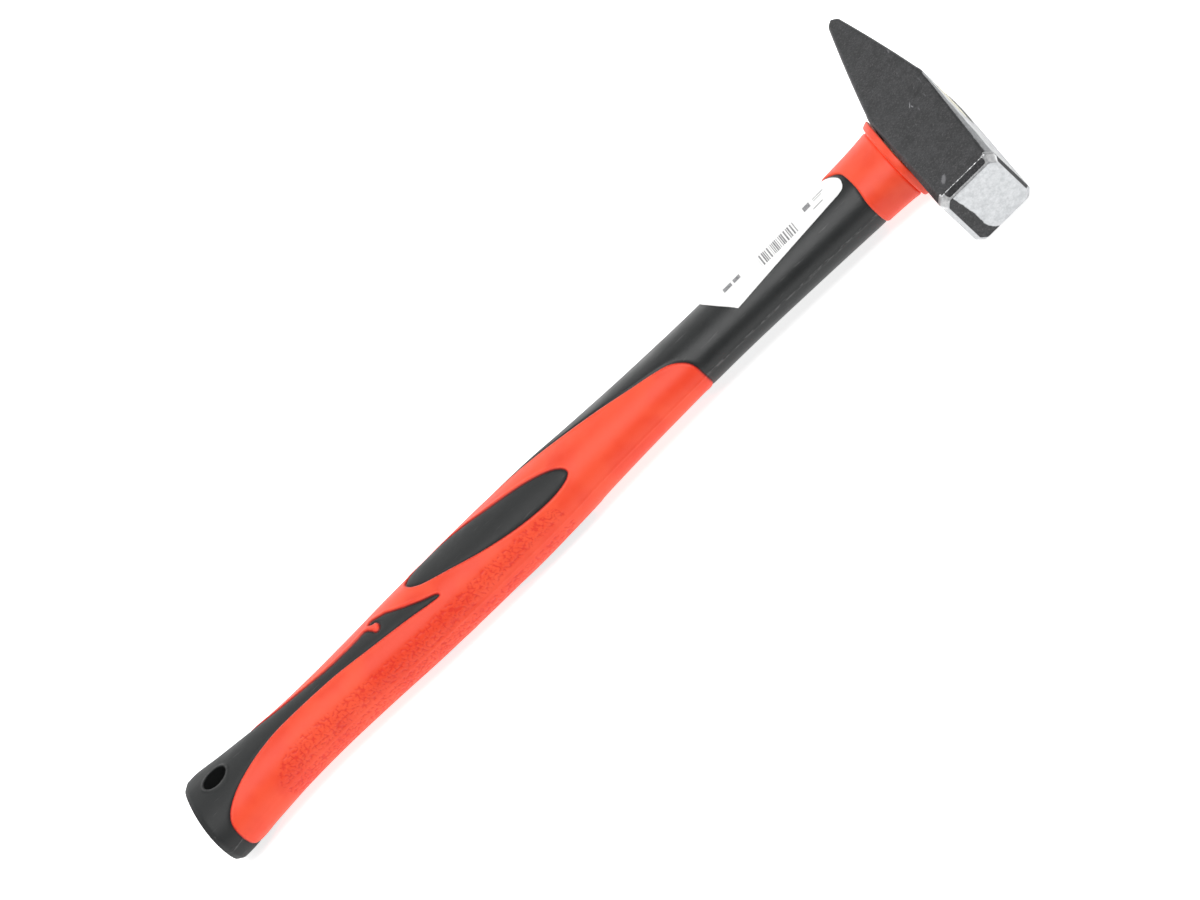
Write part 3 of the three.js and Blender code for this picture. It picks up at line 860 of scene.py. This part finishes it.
def collar_row(x, share, height, flange):
    half_y, half_z, shift = (along_handle(x, k) for k in (1, 2, 3))
    half_y = (half_y + height) * (1 - flange) + FLANGE_HALF_WIDTH * flange
    half_z = (half_z + height * 0.6) * (1 - flange) + FLANGE_HALF_THICKNESS * flange
    power = COLLAR_POWER + (FLANGE_POWER - COLLAR_POWER) * flange
    y = shift * (1 - flange / 2) + half_y * signed_power(np.cos(share), 2 / power)
    z = half_z * signed_power(np.sin(share), 2 / power)
    return np.column_stack([x, y, z])


def sticker(material):
    """A thin sheet of paper that follows the shaft's upper side."""
    across, lengthwise = 46, 120
    q = np.linspace(0, 1, across)
    bottom, top = spline(LABEL_BOTTOM, 12), spline(LABEL_TOP, 12)

    def edge_at(edge):
        length = np.concatenate([[0], np.cumsum(np.hypot(*np.diff(edge, axis=0).T))])
        return np.column_stack([np.interp(q * length[-1], length, edge[:, k]) for k in (0, 1)])

    t = np.linspace(0, 1, lengthwise)[:, None, None]
    flat = edge_at(bottom)[None] * (1 - t) + edge_at(top)[None] * t
    x, y = flat[..., 0], flat[..., 1]
    half_y, half_z, shift = (along_handle(x, k) for k in (1, 2, 3))
    reach = np.clip((y - shift) / half_y, -0.999, 0.999)
    z = half_z * (1 - np.abs(reach) ** SECTION_POWER) ** (1 / SECTION_POWER)
    out_y = signed_power(reach, SECTION_POWER - 1) / half_y
    out_z = (z / half_z) ** (SECTION_POWER - 1) / half_z
    size = np.hypot(out_y, out_z)
    sheets = [np.stack([x, y + out_y / size * h, z + out_z / size * h], axis=-1) for h in (0.02, 0.14)]
    under, over = (sheet.reshape(-1, 3) for sheet in sheets)
    count = len(over)
    quads = row_quads(lengthwise, across, wrap=False)
    border = border_loop(lengthwise, across)
    faces = (quads[:, ::-1] + count).tolist() + quads.tolist()
    faces += [[b, a, a + count, b + count] for a, b in zip(border, border[1:] + border[:1])]
    return mesh_object("paper_sticker", np.vstack([under, over]), faces, material, sharp_angle=40)


def border_loop(rows, columns):
    """The points round a sheet's border, in order."""
    first = list(range(columns))
    right = [r * columns + columns - 1 for r in range(1, rows)]
    last = [(rows - 1) * columns + c for c in range(columns - 2, -1, -1)]
    left = [r * columns for r in range(rows - 2, 0, -1)]
    return first + right + last + left


# ---------------------------------------------------------------- the head


def head_half_height(y):
    """Half of the head's height over its length: square body, round shoulder, bulged wedge, round tip."""
    tip_centre = PEIN_Y - PEIN_TIP_RADIUS
    tip_start = tip_centre + PEIN_TIP_RADIUS * math.sin(TIP_ANGLE)
    t = np.clip((y - SHOULDER_END) / (tip_start - SHOULDER_END), 0, 1)
    top = HEAD_HALF - SHOULDER_DROP
    wedge = top + (PEIN_TIP_RADIUS * math.cos(TIP_ANGLE) - top) * t + 4 * WEDGE_BULGE * t * (1 - t)
    shoulder_t = np.clip((y - SHOULDER_START) / (SHOULDER_END - SHOULDER_START), 0, 1)
    shoulder = HEAD_HALF - SHOULDER_DROP * shoulder_t**2
    tip = np.sqrt(np.maximum(PEIN_TIP_RADIUS**2 - (y - tip_centre) ** 2, 0))
    return np.where(y < SHOULDER_END, shoulder, np.where(y < tip_start, wedge, tip))


def rounded_ring(low, high, down, up, chamfer, steps=4, side_steps=14):
    """A chamfered rectangle round the head's long axis, with rounded corners: (x, z) from the centre line."""
    corners = [
        (high, up - chamfer), (high - chamfer, up), (-low + chamfer, up), (-low, up - chamfer),
        (-low, -down + chamfer), (-low + chamfer, -down), (high - chamfer, -down), (high, -down + chamfer),
    ]
    corners = np.array(corners)
    before, after = np.roll(corners, 1, axis=0), np.roll(corners, -1, axis=0)
    ring = []
    for k, (p, a, b) in enumerate(zip(corners, before, after)):
        to_a, to_b = a - p, b - p
        cut = min(EDGE_ROUNDING, 0.4 * np.hypot(*to_a), 0.4 * np.hypot(*to_b))
        start, end = p + to_a * cut / max(np.hypot(*to_a), 1e-6), p + to_b * cut / max(np.hypot(*to_b), 1e-6)
        for t in np.linspace(0, 1, steps + 1):
            ring.append((1 - t) ** 2 * start + 2 * t * (1 - t) * p + t * t * end)
        if k % 2 == 1:
            following = b - (b - p) * min(0.4, EDGE_ROUNDING / max(np.hypot(*to_b), 1e-6))
            for t in np.linspace(0, 1, side_steps + 2)[1:-1]:
                ring.append(end + (following - end) * t)
    return np.array(ring)


def head_rows():
    """Each ring's (y, share of the bevel, share of the way to the face's centre), from face to pein."""
    face = [(FACE_Y, 1.0, share) for share in (0.95, 0.8, 0.6, 0.4, 0.25, 0.12, 0.05, 0.02)]
    inner = [(FACE_Y + 0.01, 1.0, 0.0), (FACE_Y + 0.05, 0.975, 0.0), (FACE_Y + 0.12, 0.935, 0.0)]
    bevel_places = (0.16, 0.22, 0.28, 0.34, 0.4, 0.5, 0.6, 0.7, 0.76, 0.82, 0.9)
    bevel = [(FACE_Y + BEVEL_DEPTH * t, 1 - t, 0.0) for t in bevel_places]
    outer = [(FACE_Y + BEVEL_DEPTH * t, k, 0.0) for t, k in ((0.96, 0.05), (1.02, 0.015), (1.12, 0.0))]
    along = np.concatenate([
        np.arange(FACE_Y + 2, FACE_Y + 5, 0.4), np.arange(FACE_Y + 5, SHOULDER_START, 1.5),
        np.arange(SHOULDER_START, SHOULDER_END, 0.5), np.arange(SHOULDER_END, 56.4, 1.2),
    ])
    turns = np.radians([0, 10, 20, 30, 42, 54, 66, 76, 84, 88])
    tip = PEIN_Y - PEIN_TIP_RADIUS * (1 - np.sin(turns))
    return face + inner + bevel + outer + [(y, 0.0, 0.0) for y in np.concatenate([along, tip])]


def eye_ring(x, grow):
    turn = np.linspace(0, 2 * math.pi, RING_POINTS, endpoint=False)
    y = (EYE_HALF_LENGTH + grow) * signed_power(np.cos(turn), 2 / EYE_POWER)
    z = (EYE_HALF_WIDTH + grow) * signed_power(np.sin(turn), 2 / EYE_POWER)
    return np.column_stack([np.full(RING_POINTS, x), y, z])


def corner_chamfer(y):
    """The chamfer of the four long edges: widest at the face, and what is left of it on the wedge."""
    body = CHAMFER_AT_EYE + (CHAMFER_AT_FACE - CHAMFER_AT_EYE) * np.clip(-y / FACE_TO_AXIS, 0, 1)
    half_height = head_half_height(y)
    wedge = np.maximum(body - (HEAD_HALF - half_height), np.minimum(WEDGE_EDGE, 0.6 * half_height))
    return np.where(y < SHOULDER_START, body, wedge)


def bare_metal(points):
    """How far the lacquer is ground or worn away at each point of the head, from 0 to 1."""
    x, y, z = points[:, 0] + HEAD_HALF, points[:, 1], points[:, 2]
    from_face = y - FACE_Y
    share = np.clip(1 - from_face / BEVEL_DEPTH, 0, 1)
    top = HEAD_HALF - share * BEVEL_TOP - x
    bottom = HEAD_HALF - share * BEVEL_BOTTOM + x
    upper = HEAD_HALF - share * BEVEL_UPPER_CHEEK - z
    lower = HEAD_HALF - share * BEVEL_LOWER_CHEEK + z
    near = from_face < BEVEL_DEPTH * 1.05
    face = smoothstep(0.5, 0.3, from_face)
    ground_sides = near * smoothstep(0.5, 0.2, np.minimum(bottom, lower))
    corner_gap = np.minimum.reduce([top + upper, bottom + upper, top + lower]) - corner_chamfer(y)
    facets = smoothstep(0.5, 0.15, corner_gap) * smoothstep(FACET_LENGTH + 0.4, FACET_LENGTH, from_face)
    rim = 0.52 * bump(from_face - BEVEL_DEPTH, 0.26)
    flat_top = smoothstep(-0.5, -0.25, x - HEAD_HALF)
    flat_top *= smoothstep(SHOULDER_START + 2.2, SHOULDER_START - 1.2, y)
    flat_top *= from_face > BEVEL_DEPTH
    tip = 0.4 * smoothstep(PEIN_Y - 2.6, PEIN_Y - 0.6, y)
    long_edge_gap = head_half_height(y) - np.abs(x) + HEAD_HALF - np.abs(z) - corner_chamfer(y)
    edges = EDGE_WEAR * smoothstep(0.4, 0.1, long_edge_gap) * (from_face > BEVEL_DEPTH)
    worn = np.maximum.reduce([face, ground_sides, facets, rim, tip, edges, flat_top])
    return np.clip(worn, 0, 1)


def hammer_head(material):
    rings = []
    for y, share, inward in head_rows():
        half_height = float(head_half_height(y))
        chamfer = float(corner_chamfer(y)) * (1 - 0.22 * share)
        sides = (
            half_height - share * BEVEL_BOTTOM, half_height - share * BEVEL_TOP,
            HEAD_HALF - share * BEVEL_LOWER_CHEEK, HEAD_HALF - share * BEVEL_UPPER_CHEEK,
        )
        ring = rounded_ring(*(side * (1 - inward) for side in sides), chamfer * (1 - inward))
        rings.append(np.column_stack([ring[:, 0] - HEAD_HALF, np.full(len(ring), y), ring[:, 1]]))
    head = tube_object("forged_head", np.array(rings[::-1]), material)
    eye = np.array([
        eye_ring(x, grow) for x, grow in (
            (1, EYE_FLARE + 0.3), (0, EYE_FLARE + 0.1), (-0.5, EYE_FLARE - 0.1), (-EYE_CHAMFER_DEPTH, 0),
            (-2 * HEAD_HALF + EYE_CHAMFER_DEPTH, 0), (-2 * HEAD_HALF, EYE_FLARE),
            (-2 * HEAD_HALF - 1, EYE_FLARE),
        )
    ])
    cut_away(head, tube_object("eye_cutter", eye[::-1], material))
    head.data.set_sharp_from_angle(angle=math.radians(34))
    set_point_values(head.data, "bare", bare_metal(tool_points(head.data)))
    return head


def bar_ring(x, half_width, half_thickness):
    turn = np.linspace(0, 2 * math.pi, RING_POINTS, endpoint=False)
    y = half_width * signed_power(np.cos(turn), 2 / SECTION_POWER)
    z = half_thickness * signed_power(np.sin(turn), 2 / SECTION_POWER)
    return np.column_stack([np.full(RING_POINTS, x), y, z])


def core_bar(material):
    """The glass fibre bar, with a slightly broken top edge."""
    steps = [(-281.9, 0.4), (-281.5, 0)] + [(x, 0) for x in np.linspace(-270, -3, 30)]
    steps += [(-RESIN_SINK - 0.4, 0), (-RESIN_SINK - 0.1, 0.1), (-RESIN_SINK, 0.4)]
    rings = np.array([bar_ring(x, CORE_HALF_WIDTH - k, CORE_HALF_THICKNESS - k) for x, k in steps])
    return tube_object("core_rod", rings, material, sharp_angle=40)


def eye_filling(material):
    """The resin between the bar and the eye: it climbs a little where it wets both."""
    inner = bar_ring(0, CORE_HALF_WIDTH + 0.02, CORE_HALF_THICKNESS + 0.02)
    outer = eye_ring(0, EYE_FLARE - 0.15)
    waist = eye_ring(0, -0.1)
    low = -2 * HEAD_HALF + 0.1
    rows = [inner + (low, 0, 0), waist + (low, 0, 0), waist + (-EYE_CHAMFER_DEPTH, 0, 0)]
    for t in np.linspace(0, 1, 13):
        sag = -0.5 * math.sin(math.pi * t)
        rows.append(outer * (1 - t) + inner * t + (-RESIN_SINK - 0.15 + sag, 0, 0))
    rows.append(rows[0].copy())
    points = np.array(rows)
    faces = row_quads(*points.shape[:2])
    return mesh_object("resin_filling", points.reshape(-1, 3), faces.tolist(), material, sharp_angle=50)


# ---------------------------------------------------------------- the assembly

RED_BRIGHT = rgb(0.82, 0.074, 0.026)
RED_DEEP = rgb(0.76, 0.048, 0.014)

STEEL = lacquered_steel()
PLASTIC = black_plastic()
GRIP_RUBBER = red_rubber("red_grip_rubber", RED_BRIGHT, RED_DEEP, roughness=0.40, valley_shade=0.55)
COLLAR_RUBBER = red_rubber("red_collar_rubber", RED_BRIGHT, RED_DEEP, roughness=0.36, valley_shade=0)

PIECES = [
    (hammer_head(STEEL), "hammer_head", "lacquered_steel"),
    (handle_body(PLASTIC), "handle_body", "black_plastic"),
    (grip_sleeve(GRIP_RUBBER), "grip_sleeve", "red_grip_rubber"),
    (guard_collar(COLLAR_RUBBER), "guard_collar", "red_collar_rubber"),
    (core_bar(glass_fibre_rod()), "fibreglass_core", "glass_fibre"),
    (eye_filling(cast_resin()), "eye_resin", "cast_resin"),
    (sticker(printed_paper()), "label", "white_paper"),
]
for piece, node, slot in PIECES:
    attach(piece, "root")
    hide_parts(node)

# ---------------------------------------------------------------- the studio

FLOOR_REACH = 4.0
FLOOR_GLOW = 0.95  # a light table: it keeps the shadow under the hammer faint
CENTRE = (CAD_LOW + CAD_HIGH) / 2
CAMERA_FROM_CENTRE = Vector((0.2418, -1.6442, 1.1532))
CAMERA_TURN = (43.156, 38.372, -25.385)  # degrees about x, y and z
CAMERA_LENS = 207.4
CAMERA_SENSOR = 36


def pale_floor():
    look = Look("pale_floor")
    cloud = look.noise(160, detail=2)
    white = look.blend(cloud, rgb(0.78, 0.78, 0.78), rgb(0.82, 0.82, 0.82))
    look.set(base_color=white, roughness=0.7, emission_color=white, emission_strength=FLOOR_GLOW)
    z = CAD_LOW.z - HOLE_LIP_HEIGHT * MM  # clear of the lip round the hang hole
    mesh = bpy.data.meshes.new("floor")
    corners = [(-1, -1), (1, -1), (1, 1), (-1, 1)]
    mesh.from_pydata([(x * FLOOR_REACH, y * FLOOR_REACH, z) for x, y in corners], [], [(0, 1, 2, 3)])
    mesh.materials.append(look.material)
    floor = bpy.data.objects.new("floor", mesh)
    bpy.context.scene.collection.objects.link(floor)


def soft_light(name, place, size, power):
    """A square soft box that faces the middle of the object."""
    light = bpy.data.lights.new(name, "AREA")
    light.energy = power
    light.size = size
    lamp = bpy.data.objects.new(name, light)
    lamp.location = CENTRE + Vector(place)
    lamp.rotation_euler = (-Vector(place)).to_track_quat("-Z", "Y").to_euler()
    bpy.context.scene.collection.objects.link(lamp)


def white_room(strength):
    world = bpy.data.worlds.new("white_room")
    world.use_nodes = True
    world.node_tree.nodes["Background"].inputs["Color"].default_value = rgb(1, 1, 1)
    world.node_tree.nodes["Background"].inputs["Strength"].default_value = strength
    bpy.context.scene.world = world


def main_camera():
    lens = bpy.data.cameras.new("camera")
    lens.lens = CAMERA_LENS
    lens.sensor_width = CAMERA_SENSOR
    lens.clip_end = 20
    camera = bpy.data.objects.new("camera", lens)
    camera.location = CENTRE + CAMERA_FROM_CENTRE
    camera.rotation_euler = Euler([math.radians(a) for a in CAMERA_TURN])
    bpy.context.scene.collection.objects.link(camera)
    bpy.context.scene.camera = camera


pale_floor()
soft_light("key", (0.0, -0.2, 1.35), 1.3, 21)
soft_light("rim", (-0.3, 1.4, 0.3), 0.9, 5)
soft_light("side", (-1.1, 0.1, 0.7), 0.8, 1.5)
white_room(0.3)
main_camera()
bpy.context.scene.view_settings.view_transform = "Standard"
